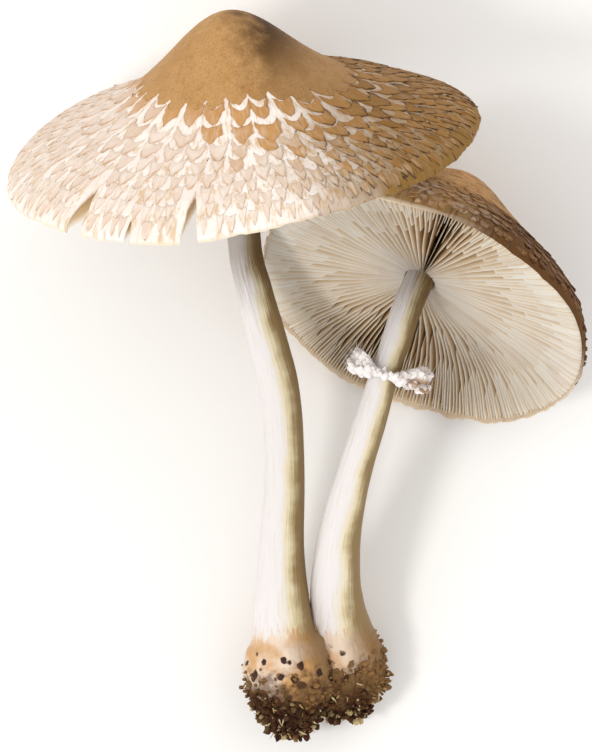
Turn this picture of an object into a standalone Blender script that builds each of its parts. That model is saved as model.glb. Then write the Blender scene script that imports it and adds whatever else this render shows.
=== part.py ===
"""Two frayed parasol mushrooms that grew together at their bulbs, picked and laid down.

The pair lies on the large cap's rim, the fuller side of the small cap and the soil under the small
bulb. X runs across the pair, Y from the bulbs towards the caps, and Z up from the surface that it
lies on. All sizes are in metres.
"""

import math
import random
from dataclasses import dataclass

import bmesh
import bpy
from mathutils import Matrix, Vector, noise

GAP = 0.0004  # between pieces that touch
LIP = 0.0008  # thickness of the skin at a cap's margin
SHOULDER = 0.00085  # the margin starts to roll under this far in
FRAY = 0.0002  # how far the margin's points hang up and down
FLESH_TAPER = 1.4  # power by which the flesh thins towards the margin
FULLEST = 4 / 27  # greatest value of share**2 * (1 - share), two thirds of the way out

# Rows of points on the smooth boss: share of its radius, and points in the row.
BOSS_ROWS = ((0.14, 10), (0.34, 18), (0.58, 24), (0.80, 28))

GILL_BLADE = 0.0008  # thickness of a gill's edge
GILL_WEB = 0.0008  # thinnest flesh between two gills
GILL_LOWEST = 0.0008  # height of a gill where it meets the margin
GILL_MARGIN = 0.0006  # a gill stops this short of the lip
GILL_GAP = 0.0005  # between the flesh and the plate that the gills grow on
GILL_RISE = 1.1  # power by which the gills' edges rise towards the stem
GILL_ROWS = (0.02, 0.20, 0.45, 0.73, 1.0)  # shares of a gill's length where its height is set
WIDEST_BLADE = 0.42  # share of the way to the next gill that half a blade may fill
SHORT_GILL_STARTS = (0.22, 0.40)  # shares of the cap's radius
SHORT_GILL_GROWTH = 0.14  # share of the cap's radius in which a short gill reaches full height

SCALE_STEP = 0.0007  # how far the tip of a scale stands off the cap
SCALE_UNDERCUT = 0.00025  # the skin starts again this far outside the tip of a scale
SCALE_MARGIN = 0.0034  # the last scales stop about this short of the margin

SOIL_DEPTH = 0.0009  # mean thickness of the soil that clings to the bulbs
SOIL_RAGGED = 0.0012  # how far its upper edge runs up and down
SOIL_GAP = 0.0005  # between the soil and the bulbs
SOIL_SEEDS = (21, 22)

PRESSED_FLAT = 0.0004  # how far the pair's low points are pressed flat
CREASE = 40.0  # degrees over which an edge is crisp


@dataclass
class Cap:
    """One cap. Heights are over its rim plane and radii from its axis."""

    name: str
    centre: tuple  # where the axis meets the rim plane
    lean: float  # degrees that the axis leans across, towards +X
    tilt: float  # degrees that the axis rises from the surface
    radius: float
    dome: float  # height of the broad dome
    dome_power: float
    edge_power: float  # under 1, the margin turns down roundly
    umbo: float  # height of the boss in the middle
    umbo_width: float
    flesh: float  # thickness of the flesh over the stem
    hollow: float  # how far the gills' edges rise towards the stem
    gill_start: float  # radius where the gills begin
    gill_count: int
    stem_hole: float
    waves: tuple  # (height, degrees, turns) of each wave round the margin
    off_centre: tuple  # (length, degrees) by which the margin reaches further to one side
    bulge: tuple  # (height, degrees) by which the dome is fuller on one side
    disc: float  # radius of the unbroken skin on the boss
    scale_rings: int
    scale_count: int  # scales in a ring
    seed: int

    @property
    def inner_radius(self):
        return self.radius - LIP

    @property
    def gill_radius(self):
        return self.inner_radius - GILL_MARGIN


LARGE = Cap(
    name="large",
    centre=(-0.0118, 0.0497, 0.0518),
    lean=-6.3,
    tilt=20.5,
    radius=0.0548,
    dome=0.0146,
    dome_power=2.3,
    edge_power=0.62,
    umbo=0.0195,
    umbo_width=0.0190,
    flesh=0.0145,
    hollow=0.0070,
    gill_start=0.0056,
    gill_count=56,
    stem_hole=0.0046,
    waves=((0.0022, -25.0, 1), (0.0009, -30.0, 2), (0.0005, 70.0, 5)),
    off_centre=(0.0, 0.0),
    bulge=(0.0, 0.0),
    disc=0.0235,
    scale_rings=6,
    scale_count=30,
    seed=7,
)

SMALL = Cap(
    name="small",
    centre=(0.0263, 0.0158, 0.0359),
    lean=25.3,
    tilt=-34.3,
    radius=0.0395,
    dome=0.0220,
    dome_power=2.0,
    edge_power=0.60,
    umbo=0.0157,
    umbo_width=0.0182,
    flesh=0.0187,
    hollow=0.0075,
    gill_start=0.0048,
    gill_count=56,
    stem_hole=0.0042,
    waves=((0.0008, 200.0, 2), (0.0007, -40.0, 3), (0.0004, 20.0, 7)),
    off_centre=(0.0034, 0.0),
    bulge=(0.0060, 66.0),
    disc=0.0150,
    scale_rings=5,
    scale_count=22,
    seed=11,
)

# Splits in the large cap's margin: degrees round the cap, width at the margin, and length. The
# wedge that cuts one runs past the margin, and from well under the rim plane to over the boss.
SPLITS = (
    (-137.0, 0.0062, 0.0105),
    (-121.0, 0.0018, 0.0035),
    (-105.0, 0.0046, 0.0100),
    (38.0, 0.0036, 0.0080),
    (118.0, 0.0052, 0.0095),
)
SPLIT_PAST = 0.004
SPLIT_DEPTH = 0.02
SPLIT_HEIGHT = 0.03

# Each stem from its cap's rim plane to the tip of its bulb: (x, y, z, radius).
LARGE_STEM = (
    (-0.0118, 0.0497, 0.0518, 0.0038),
    (-0.0116, 0.0295, 0.0432, 0.0038),
    (-0.0092, 0.0180, 0.0392, 0.0041),
    (-0.0062, 0.0064, 0.0352, 0.0045),
    (-0.0034, -0.0053, 0.0316, 0.0045),
    (-0.0024, -0.0229, 0.0270, 0.0046),
    (-0.0031, -0.0401, 0.0224, 0.0052),
    (-0.0031, -0.0528, 0.0192, 0.0064),
    (-0.0026, -0.0600, 0.0174, 0.0072),
    (-0.0020, -0.0642, 0.0164, 0.0090),
    (-0.0015, -0.0700, 0.0150, 0.0098),
    (-0.0012, -0.0750, 0.0140, 0.0087),
    (-0.0010, -0.0802, 0.0131, 0.0061),
    (-0.0009, -0.0840, 0.0126, 0.0022),
)

SMALL_STEM = (
    (0.0263, 0.0158, 0.0359, 0.0034),
    (0.0236, 0.0080, 0.0386, 0.0034),
    (0.0207, -0.0006, 0.0397, 0.0032),
    (0.0174, -0.0112, 0.0384, 0.0037),
    (0.0138, -0.0229, 0.0342, 0.0040),
    (0.0109, -0.0346, 0.0288, 0.0047),
    (0.0095, -0.0464, 0.0220, 0.0056),
    (0.0098, -0.0545, 0.0166, 0.0063),
    (0.0108, -0.0605, 0.0128, 0.0072),
    (0.0121, -0.0660, 0.0102, 0.0080),
    (0.0122, -0.0710, 0.0094, 0.0075),
    (0.0119, -0.0762, 0.0090, 0.0058),
    (0.0116, -0.0803, 0.0088, 0.0022),
)
STEM_SIDES = 18
STEM_RINGS = 28

# The ring on the small stem: its place in the stem's points, and the reach of its torn flap.
RING_PLACE = 4.05
RING_REACH = 0.0058
RING_BORE = 0.0007  # between the stem and the ring
RING_SIDES = 40
RING_SEED = 5

# Each corner of the ring's cross-section: share of its reach out from the bore, and down the stem.
RING_SECTION = (
    (0.00, -0.0018),
    (0.09, -0.0026),
    (0.55, -0.0027),
    (1.00, -0.0022),
    (0.97, -0.0012),
    (0.50, -0.0012),
    (0.17, 0.0008),
    (0.00, 0.0016),
)

# Places in the stem's points where the bulb starts to swell, and where soil starts to cling.
LARGE_BULB = 10.0
SMALL_BULB = 9.5
LARGE_SOIL = 12.55
SMALL_SOIL = 11.35
BULB_SWELL = 1.5  # how many points further on the warts are at their full height
BULB_GRAIN = 160  # lumps of the bulb in a metre
BULB_LUMP = 0.0007
BULB_WART = 0.0016

COLOURS = {
    "skin": ((0.52, 0.36, 0.22, 1.0), 0.75),
    "gills": ((0.84, 0.76, 0.62, 1.0), 0.80),
    "stem": ((0.85, 0.80, 0.71, 1.0), 0.65),
    "ring": ((0.90, 0.88, 0.84, 1.0), 0.85),
    "soil": ((0.10, 0.06, 0.04, 1.0), 0.95),
}


def clear_scene():
    for obj in list(bpy.data.objects):
        bpy.data.objects.remove(obj)


def material(name):
    colour, roughness = COLOURS[name]
    made = bpy.data.materials.get(name) or bpy.data.materials.new(name)
    made.use_nodes = True
    shader = made.node_tree.nodes["Principled BSDF"]
    shader.inputs["Base Color"].default_value = colour
    shader.inputs["Roughness"].default_value = roughness
    shader.inputs["Metallic"].default_value = 0.0
    made.diffuse_color = colour
    return made


def new_object(name, bm, finish=None):
    """A mesh object of the bmesh, with its faces pointing out."""
    bmesh.ops.recalc_face_normals(bm, faces=bm.faces)
    mesh = bpy.data.meshes.new(name)
    bm.to_mesh(mesh)
    bm.free()
    obj = bpy.data.objects.new(name, mesh)
    bpy.context.scene.collection.objects.link(obj)
    if finish:
        mesh.materials.append(material(finish))
    return obj


def smoothed(share):
    share = min(max(share, 0.0), 1.0)
    return share * share * (3 - 2 * share)


# Loops of points, and the skins drawn between them


def zip_loops(bm, first, second, steady=False):
    """Joins two closed loops of any number of vertices, both starting at the same side.

    Steady takes turns. Otherwise it takes the shorter diagonal, while neither loop runs ahead.
    """
    slack = 1.5 / min(len(first), len(second))
    done_first, done_second = 0, 0
    while done_first < len(first) or done_second < len(second):
        here = first[done_first % len(first)]
        there = second[done_second % len(second)]
        next_here = first[(done_first + 1) % len(first)]
        next_there = second[(done_second + 1) % len(second)]
        lead = (done_second + 1) / len(second) - (done_first + 1) / len(first)
        if done_first == len(first):
            take_second = True
        elif done_second == len(second) or lead > slack:
            take_second = False
        elif lead < -slack:
            take_second = True
        elif steady:
            take_second = lead <= 0
        else:
            take_second = (here.co - next_there.co).length < (next_here.co - there.co).length
        if take_second:
            done_second += 1
            bm.faces.new((here, next_there, there))
        else:
            done_first += 1
            bm.faces.new((here, next_here, there))


def skin_over(bm, loops, closed_start, closed_end, steady=False):
    """Draws a skin over rows of points, with a fan to their middle at a closed end."""
    rows = [[bm.verts.new(point) for point in loop] for loop in loops]
    for first, second in zip(rows, rows[1:]):
        zip_loops(bm, first, second, steady)
    for row, closed in ((rows[0], closed_start), (rows[-1], closed_end)):
        if closed:
            middle = bm.verts.new(sum((v.co for v in row), Vector()) / len(row))
            for here, there in zip(row, row[1:] + row[:1]):
                bm.faces.new((here, there, middle))
    return rows


# Shape of a cap


def cap_height(cap, radius):
    """Height of the skin over the rim plane."""
    share = min(radius / cap.radius, 1.0)
    dome = cap.dome * (1 - share**cap.dome_power) ** cap.edge_power
    return dome + cap.umbo * math.exp(-((radius / cap.umbo_width) ** 2))


def flesh_height(cap, radius):
    """Height of the flesh's underside, which the gills hang from."""
    share = min(radius / cap.inner_radius, 1.0)
    return cap_height(cap, share * cap.radius) - cap.flesh * (1 - share) ** FLESH_TAPER


def gill_root_height(cap, radius):
    return flesh_height(cap, radius) - GILL_GAP


def gill_valley_height(cap, radius):
    return gill_root_height(cap, radius) - GILL_WEB


def gill_edge_height(cap, radius):
    """Height of a gill's free edge, which rises towards the stem."""
    rising = cap.hollow * (1 - radius / cap.radius) ** GILL_RISE
    return min(rising, gill_valley_height(cap, radius) - GILL_LOWEST)


def cap_point(cap, radius, angle, height):
    """A point of the cap in its own frame, with its waves, its longer side and its fuller side."""
    share = radius / cap.radius
    lift = sum(h * math.cos(turns * (angle - math.radians(at))) for h, at, turns in cap.waves)
    longer, at = cap.off_centre
    reach = radius + longer * share**2 * math.cos(angle - math.radians(at))
    fuller, at = cap.bulge
    facing = max(math.cos(angle - math.radians(at)), 0.0) ** 2
    swell = share**2 * (1 - min(share, 1.0)) / FULLEST
    height += lift * share**3 + fuller * facing * swell
    return Vector((reach * math.cos(angle), reach * math.sin(angle), height))


def cap_frame(cap):
    """The cap's frame: +Z up its axis, +X to the side, and +Y down to the surface."""
    lean, tilt = math.radians(cap.lean), math.radians(cap.tilt)
    axis = Vector((
        math.sin(lean) * math.cos(tilt),
        math.cos(lean) * math.cos(tilt),
        math.sin(tilt),
    ))
    side = Vector((math.cos(lean), -math.sin(lean), 0.0))
    turn = Matrix((side, axis.cross(side), axis)).transposed()
    return Matrix.Translation(cap.centre) @ turn.to_4x4()


def plain_loop(cap, radius, count, height):
    angles = (2 * math.pi * i / count for i in range(count))
    return [cap_point(cap, radius, angle, height) for angle in angles]


def scale_loops(cap, ring, depth, draw):
    """The torn edge of one ring of scales, and the skin just below it.

    Tips and notches take turns, and each tip lies over a notch of the next ring.
    """
    radius = cap.disc + (cap.radius - SCALE_MARGIN - cap.disc) * ring / cap.scale_rings
    upper, lower = [], []
    for i in range(2 * cap.scale_count):
        angle = math.pi * (i + draw.uniform(-0.10, 0.10)) / cap.scale_count
        if (i + ring) % 2:
            reach = radius + depth * draw.uniform(0.22, 0.42)
            lift = SCALE_STEP * draw.uniform(0.65, 1.15)
        else:
            reach = radius - depth * draw.uniform(0.12, 0.34)
            lift = SCALE_STEP * draw.uniform(0.30, 0.50)
        foot = reach + SCALE_UNDERCUT
        upper.append(cap_point(cap, reach, angle, cap_height(cap, reach) + lift))
        lower.append(cap_point(cap, foot, angle, cap_height(cap, foot)))
    return [upper, lower]


def build_cap(cap):
    """The cap's flesh and skin: a smooth boss, rings of torn scales, and a thin frayed margin."""
    draw = random.Random(cap.seed)
    loops = []
    for share, count in BOSS_ROWS:
        radius = share * cap.disc
        loops.append(plain_loop(cap, radius, count, cap_height(cap, radius)))
    depth = (cap.radius - SCALE_MARGIN - cap.disc) / cap.scale_rings
    for ring in range(cap.scale_rings):
        loops += scale_loops(cap, ring, depth, draw)
    loops += scale_loops(cap, cap.scale_rings, 0.9 * SCALE_MARGIN, draw)

    frays = 2 * cap.scale_count
    shoulder = cap.radius - SHOULDER
    loops.append(plain_loop(cap, shoulder, frays, cap_height(cap, shoulder)))
    margin = plain_loop(cap, cap.radius, frays, 0.0)
    loops.append([point - Vector((0, 0, draw.uniform(-FRAY, 3 * FRAY))) for point in margin])
    loops.append(plain_loop(cap, cap.inner_radius, cap.gill_count, 0.0))
    for radius in (*reversed(gill_rows(cap)), cap.stem_hole):
        loops.append(plain_loop(cap, radius, cap.gill_count, flesh_height(cap, radius)))

    bm = bmesh.new()
    skin_over(bm, loops, closed_start=True, closed_end=True)
    bmesh.ops.transform(bm, matrix=cap_frame(cap), verts=bm.verts)
    return new_object(f"{cap.name}_cap", bm, "skin")


# Gills


def gill_rows(cap):
    """Radii at which the gills, their root plate and the flesh over them are drawn."""
    reach = cap.gill_radius - cap.gill_start
    return [cap.gill_start + reach * share for share in GILL_ROWS]


def gill_loop(cap, radius):
    """One row of points across all gills: two on each gill's edge and one in each valley."""
    points = []
    cell = 2 * math.pi / cap.gill_count
    half_blade = min(GILL_BLADE / 2 / radius, WIDEST_BLADE * cell)
    valley = gill_valley_height(cap, radius)
    edge = gill_edge_height(cap, radius)
    for i in range(cap.gill_count):
        middle = cell * (i + 0.5)
        start = SHORT_GILL_STARTS[i % 4 == 1]
        short = smoothed((radius / cap.radius - start) / SHORT_GILL_GROWTH)
        grown = short if i % 2 else 1.0
        height = valley + (edge - valley) * grown
        points.append(cap_point(cap, radius, middle - 0.5 * cell, valley))
        points.append(cap_point(cap, radius, middle - half_blade, height))
        points.append(cap_point(cap, radius, middle + half_blade, height))
    return points


def build_gills(cap):
    """All gills of a cap, long and short in turn, grown on one thin root plate."""
    rows = gill_rows(cap)
    loops = [
        plain_loop(cap, radius, cap.gill_count, gill_root_height(cap, radius))
        for radius in (cap.stem_hole, *rows)
    ]
    loops += [gill_loop(cap, radius) for radius in reversed(rows)]
    for radius in (cap.gill_start, cap.stem_hole):
        loops.append(plain_loop(cap, radius, cap.gill_count, gill_valley_height(cap, radius)))

    bm = bmesh.new()
    rows_made = skin_over(bm, loops, closed_start=False, closed_end=False)
    zip_loops(bm, rows_made[-1], rows_made[0])
    bmesh.ops.transform(bm, matrix=cap_frame(cap), verts=bm.verts)
    return new_object(f"{cap.name}_gills", bm, "gills")


# Stems, their bulbs, rings and soil


def along(points, place):
    """The smooth curve through the points at a place counted in points: position and radius."""
    start = min(int(place), len(points) - 2)
    t = place - start
    before, here, there, after = (
        Vector(points[min(max(start + step, 0), len(points) - 1)]) for step in (-1, 0, 1, 2)
    )
    curve = (
        2 * here
        + (there - before) * t
        + (2 * before - 5 * here + 4 * there - after) * t * t
        + (3 * here - before - 3 * there + after) * t**3
    ) / 2
    return Vector(curve[:3]), curve[3]


def stem_points(cap, points):
    """The stem's points, with two more at its top, which stands in the cap up to its flesh."""
    frame = cap_frame(cap)
    top = flesh_height(cap, 0.0) - GAP
    inside = [(*(frame @ Vector((0, 0, height))), points[0][3]) for height in (top, 0.6 * top)]
    return (*inside, *points)


def across(points, place):
    """Two directions square to the stem at a place, and the one along it towards the bulb."""
    ahead = along(points, min(place + 0.1, len(points) - 1))[0]
    behind = along(points, max(place - 0.1, 0))[0]
    down = (ahead - behind).normalized()
    side = Vector((1, 0, 0)) - down * down.x
    side.normalize()
    return side, down.cross(side), down


def bulb_wart(centre, direction, strength):
    """Uneven growth of a bulb: broad lumps and small warts."""
    spot = centre * BULB_GRAIN + direction * 2.2
    lumps = noise.noise(spot)
    warts = max(noise.noise(spot * 2.7) - 0.15, 0.0)
    return strength * (BULB_LUMP * lumps + BULB_WART * warts)


def stem_loops(points, swelling, thicker, start=0.0):
    """Rings of points down the stem. The bulb and its warts begin at the swelling."""
    last = len(points) - 1
    loops = []
    for ring in range(STEM_RINGS + 1):
        place = last * ring / STEM_RINGS
        if place < start:
            continue
        centre, radius = along(points, place)
        side, depth, down = across(points, place)
        if ring == STEM_RINGS:
            centre += down * thicker
        on_bulb = smoothed((place - swelling) / BULB_SWELL)
        loop = []
        for i in range(STEM_SIDES):
            angle = 2 * math.pi * i / STEM_SIDES
            direction = side * math.cos(angle) + depth * math.sin(angle)
            reach = radius + thicker + bulb_wart(centre, direction, on_bulb)
            loop.append(centre + direction * reach)
        loops.append(loop)
    return loops


def build_stem(name, points, swelling, thicker=0.0, finish=None):
    bm = bmesh.new()
    loops = stem_loops(points, swelling, thicker)
    skin_over(bm, loops, closed_start=True, closed_end=True, steady=True)
    return new_object(name, bm, finish)


def build_soil(name, points, swelling, start, seed):
    """A lump of crumbs round the lower half of a bulb, before the bulb is cut out of it."""
    draw = random.Random(seed)
    loops = stem_loops(points, swelling, SOIL_GAP + SOIL_DEPTH, start)
    down = across(points, start)[2]
    for loop in loops:
        middle = sum(loop, Vector()) / len(loop)
        for i, point in enumerate(loop):
            crumb = SOIL_DEPTH * draw.uniform(-0.45, 0.70)
            loop[i] = point + (point - middle).normalized() * crumb
    loops[0] = [point + down * SOIL_RAGGED * draw.uniform(-1.0, 1.0) for point in loops[0]]
    bm = bmesh.new()
    skin_over(bm, loops, closed_start=True, closed_end=True, steady=True)
    return new_object(name, bm, "soil")


def build_ring(name, points, place, reach, seed):
    """The torn collar on a stem: a thick frilled flap that bends up and out from a short sleeve."""
    draw = random.Random(seed)
    centre, stem_radius = along(points, place)
    side, depth, down = across(points, place)
    bore = stem_radius + RING_BORE
    frill = [draw.uniform(0.66, 1.12) for _ in range(RING_SIDES)]
    curl = [draw.uniform(-0.22, 0.22) for _ in range(RING_SIDES)]
    loops = []
    for share, drop in RING_SECTION:
        loop = []
        for i in range(RING_SIDES):
            angle = 2 * math.pi * i / RING_SIDES
            direction = side * math.cos(angle) + depth * math.sin(angle)
            wave = 0.16 * math.sin(5 * angle + seed) + 0.08 * math.sin(9 * angle) + curl[i] * share
            out = bore + reach * share * (1 + (frill[i] - 1) * share**2)
            loop.append(centre + direction * out + down * (drop + reach * wave * share))
        loops.append(loop)
    bm = bmesh.new()
    rows_made = skin_over(bm, loops, closed_start=False, closed_end=False)
    zip_loops(bm, rows_made[-1], rows_made[0])
    return new_object(name, bm, "ring")


# Joins and cuts


def boolean(obj, other, operation):
    """Joins or cuts at once, and removes the other object."""
    modifier = obj.modifiers.new(operation.title(), "BOOLEAN")
    modifier.operation = operation
    modifier.solver = "EXACT"
    modifier.object = other
    bpy.context.view_layer.update()
    graph = bpy.context.evaluated_depsgraph_get()
    cut = bpy.data.meshes.new_from_object(obj.evaluated_get(graph))
    obj.modifiers.remove(modifier)
    obj.data = cut
    bpy.data.objects.remove(other)


def split_wedge(cap, angle, width, length):
    """A wedge over one split of the margin, as tall as the cap."""
    outer = cap.radius + SPLIT_PAST
    outer_half = 0.5 * width * (length + SPLIT_PAST) / length
    inner = cap.radius - length
    corners = ((inner, 0.0), (outer, -outer_half), (outer, outer_half))
    bm = bmesh.new()
    floor = [bm.verts.new((x, y, -SPLIT_DEPTH)) for x, y in corners]
    face = bm.faces.new(floor)
    raised = bmesh.ops.extrude_face_region(bm, geom=[face])["geom"]
    tops = [item for item in raised if isinstance(item, bmesh.types.BMVert)]
    bmesh.ops.translate(bm, verts=tops, vec=(0, 0, SPLIT_DEPTH + SPLIT_HEIGHT))
    turn = Matrix.Rotation(math.radians(angle), 4, "Z")
    bmesh.ops.transform(bm, matrix=cap_frame(cap) @ turn, verts=bm.verts)
    return new_object("split", bm)


def cut_splits(cap, pieces):
    for angle, width, length in SPLITS:
        for piece in pieces:
            boolean(piece, split_wedge(cap, angle, width, length), "DIFFERENCE")


def lay_down(pieces):
    """Sets the pair on the surface, over the middle of its own box, and presses its low points."""
    corners = [vertex.co for piece in pieces for vertex in piece.data.vertices]
    low = Vector(min(corner[axis] for corner in corners) for axis in range(3))
    high = Vector(max(corner[axis] for corner in corners) for axis in range(3))
    middle = (low + high) / 2
    shift = Matrix.Translation((-middle.x, -middle.y, -low.z - PRESSED_FLAT))
    for piece in pieces:
        piece.data.transform(shift)
        if min(vertex.co.z for vertex in piece.data.vertices) < 0:
            boolean(piece, surface_block(), "DIFFERENCE")


def surface_block():
    """What the pair is pressed on, as a block under Z = 0."""
    bm = bmesh.new()
    bmesh.ops.create_cube(bm, size=0.5)
    bmesh.ops.translate(bm, verts=bm.verts, vec=(0, 0, -0.25))
    return new_object("surface", bm)


def finish_mesh(obj, name):
    """Smooth shading with crisp edges, and one finish."""
    obj.data.name = obj.name
    if not obj.data.materials:
        obj.data.materials.append(material(name))
    obj.data.shade_smooth()
    obj.data.set_sharp_from_angle(angle=math.radians(CREASE))


def main():
    clear_scene()
    large_cap, large_gills = build_cap(LARGE), build_gills(LARGE)
    cut_splits(LARGE, (large_cap, large_gills))
    small_cap, small_gills = build_cap(SMALL), build_gills(SMALL)

    large_stem = stem_points(LARGE, LARGE_STEM)
    small_stem = stem_points(SMALL, SMALL_STEM)
    stems = build_stem("joined_stems", large_stem, LARGE_BULB, finish="stem")
    boolean(stems, build_stem("small_stem", small_stem, SMALL_BULB), "UNION")

    soil = build_soil("soil_crust", large_stem, LARGE_BULB, LARGE_SOIL, SOIL_SEEDS[0])
    small_soil = build_soil("small_soil", small_stem, SMALL_BULB, SMALL_SOIL, SOIL_SEEDS[1])
    boolean(soil, small_soil, "UNION")
    room = build_stem("bulb_room", large_stem, LARGE_BULB, SOIL_GAP)
    boolean(room, build_stem("small_bulb_room", small_stem, SMALL_BULB, SOIL_GAP), "UNION")
    boolean(soil, room, "DIFFERENCE")

    ring = build_ring("small_ring", small_stem, RING_PLACE, RING_REACH, RING_SEED)

    finishes = {
        large_cap: "skin",
        small_cap: "skin",
        large_gills: "gills",
        small_gills: "gills",
        stems: "stem",
        ring: "ring",
        soil: "soil",
    }
    lay_down(finishes)
    for piece, finish in finishes.items():
        finish_mesh(piece, finish)


main()
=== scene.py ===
"""A pair of frayed parasols that grew together at their bulbs, picked and laid on a pale floor.

All sizes are in metres. X runs across the pair, Y from the bulbs towards the caps, and Z up from
the floor.
"""

import bisect
import math
import random
from dataclasses import dataclass

import bmesh
import bpy
from mathutils import Matrix, Vector, noise


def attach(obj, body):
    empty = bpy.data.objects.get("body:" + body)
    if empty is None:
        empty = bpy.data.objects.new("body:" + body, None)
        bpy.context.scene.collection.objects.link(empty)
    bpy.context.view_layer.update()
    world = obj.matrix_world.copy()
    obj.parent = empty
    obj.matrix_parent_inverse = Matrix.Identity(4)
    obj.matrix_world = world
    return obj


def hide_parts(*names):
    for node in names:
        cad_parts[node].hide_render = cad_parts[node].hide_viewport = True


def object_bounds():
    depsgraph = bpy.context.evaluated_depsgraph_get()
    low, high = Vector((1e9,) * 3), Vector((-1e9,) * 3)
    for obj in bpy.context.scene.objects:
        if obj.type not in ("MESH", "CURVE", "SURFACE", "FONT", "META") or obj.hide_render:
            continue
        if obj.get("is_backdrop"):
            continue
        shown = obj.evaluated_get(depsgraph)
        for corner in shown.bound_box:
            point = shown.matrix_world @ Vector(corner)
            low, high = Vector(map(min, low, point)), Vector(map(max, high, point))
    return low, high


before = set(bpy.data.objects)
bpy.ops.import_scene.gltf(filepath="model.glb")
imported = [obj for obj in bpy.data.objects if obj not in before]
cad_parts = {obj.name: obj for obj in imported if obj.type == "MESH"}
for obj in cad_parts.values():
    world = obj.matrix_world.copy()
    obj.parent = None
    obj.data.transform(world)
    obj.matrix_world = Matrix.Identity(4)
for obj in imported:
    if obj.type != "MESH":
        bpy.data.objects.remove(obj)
cad_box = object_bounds()


# Large cap, flesh
# The cap is soft cream flesh, thick over the stem and drawn out into a thin margin. Its surface is
# fibrous and pale, browner to one side, partly real browning and partly painted shade, and its
# margin is frayed and torn open in five places.

LAID = Vector((-0.00033, 0.00191, 0.00006))  # how far the pair moved as it was laid on the floor
LIP = 0.0005
FRAY = 0.0004
CREASE = 72.0  # degrees over which an edge is crisp
FULLEST = 4 / 27  # greatest value of share**2 * (1 - share), two thirds of the way out
ARC_STEPS = 400  # in the table of lengths over a cap's skin


@dataclass
class Cap:
    """One cap. Heights are over its rim plane and radii from its axis."""

    name: str
    centre: tuple  # where the axis meets the rim plane
    lean: float  # degrees that the axis leans across, towards +X
    tilt: float  # degrees that the axis rises from the floor
    radius: float
    dome: float
    dome_power: float
    edge_power: float
    umbo: float  # height of the boss in the middle
    umbo_width: float
    flesh: float  # thickness of the flesh over the stem
    hollow: float  # how far the gills' edges rise towards the stem
    gill_start: float
    waves: tuple  # (height, degrees, turns) of each wave round the margin
    off_centre: tuple  # (length, degrees) by which the margin reaches further to one side
    bulge: tuple  # (height, degrees) by which the dome is fuller on one side
    disc: float  # radius of the unbroken skin on the boss
    disc_spread: float  # share by which that skin reaches further to the sides
    brown_shaded_side: float  # degrees round the cap of its browned side, which also carries painted shade

    def __post_init__(self):
        lean, tilt = math.radians(self.lean), math.radians(self.tilt)
        axis = Vector((
            math.sin(lean) * math.cos(tilt),
            math.cos(lean) * math.cos(tilt),
            math.sin(tilt),
        ))
        side = Vector((math.cos(lean), -math.sin(lean), 0.0))
        turn = Matrix((side, axis.cross(side), axis)).transposed()
        self.standing = Matrix.Translation(LAID + Vector(self.centre)) @ turn.to_4x4()
        radii = [self.radius * i / ARC_STEPS for i in range(ARC_STEPS + 1)]
        profile = [Vector((radius, self.height(radius))) for radius in radii]
        self.arcs = [0.0]
        for here, there in zip(profile, profile[1:]):
            self.arcs.append(self.arcs[-1] + (there - here).length)

    @property
    def inner_radius(self):
        return self.radius - LIP

    def height(self, radius):
        share = min(radius / self.radius, 1.0)
        dome = self.dome * (1 - share**self.dome_power) ** self.edge_power
        return dome + self.umbo * math.exp(-((radius / self.umbo_width) ** 2))

    def arc(self, radius):
        """Length over the skin from the axis out to a radius."""
        at = ARC_STEPS * min(radius / self.radius, 1.0)
        start = min(int(at), ARC_STEPS - 1)
        return self.arcs[start] + (self.arcs[start + 1] - self.arcs[start]) * (at - start)

    def out(self, arc):
        """The radius at a length over the skin from the axis."""
        after = min(max(bisect.bisect_right(self.arcs, arc), 1), ARC_STEPS)
        before = self.arcs[after - 1]
        share = min((arc - before) / (self.arcs[after] - before), 1.0)
        return self.radius * (after - 1 + share) / ARC_STEPS

    def flesh_height(self, radius):
        """Height of the flesh's underside, which the gills hang from."""
        share = min(radius / self.inner_radius, 1.0)
        return self.height(share * self.radius) - self.flesh * (1 - share) ** 1.4

    def point(self, radius, angle, height):
        """A point of the cap, with its waves, its longer side and its fuller side."""
        share = radius / self.radius
        lift = sum(h * math.cos(turns * (angle - math.radians(at))) for h, at, turns in self.waves)
        longer, at = self.off_centre
        reach = radius + longer * share**2 * math.cos(angle - math.radians(at))
        fuller, at = self.bulge
        facing = max(math.cos(angle - math.radians(at)), 0.0) ** 2
        swell = share**2 * (1 - min(share, 1.0)) / FULLEST
        height += lift * share**3 + fuller * facing * swell
        spot = Vector((reach * math.cos(angle), reach * math.sin(angle), height))
        spot = self.standing @ spot
        spot.z = max(spot.z, 0.0)
        return spot

    def disc_edge(self, angle):
        side = math.cos(angle)
        return self.disc * (1 + self.disc_spread * (0.6 + 0.4 * side) * side**2)


LARGE = Cap(
    name="large",
    centre=(-0.0118, 0.0497, 0.0518),
    lean=-6.3,
    tilt=20.5,
    radius=0.0548,
    dome=0.0146,
    dome_power=2.3,
    edge_power=0.62,
    umbo=0.0195,
    umbo_width=0.0190,
    flesh=0.0145,
    hollow=0.0070,
    gill_start=0.0056,
    waves=((0.0022, -25.0, 1), (0.0009, -30.0, 2), (0.0005, 70.0, 5)),
    off_centre=(0.0, 0.0),
    bulge=(0.0, 0.0),
    disc=0.0198,
    disc_spread=0.34,
    brown_shaded_side=14.0,
)

# Degrees round the cap, width at the margin, and length.
SPLITS = (
    (-137.0, 0.0050, 0.0105),
    (-121.0, 0.0016, 0.0035),
    (-105.0, 0.0040, 0.0100),
    (38.0, 0.0036, 0.0080),
    (118.0, 0.0052, 0.0095),
)


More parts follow.
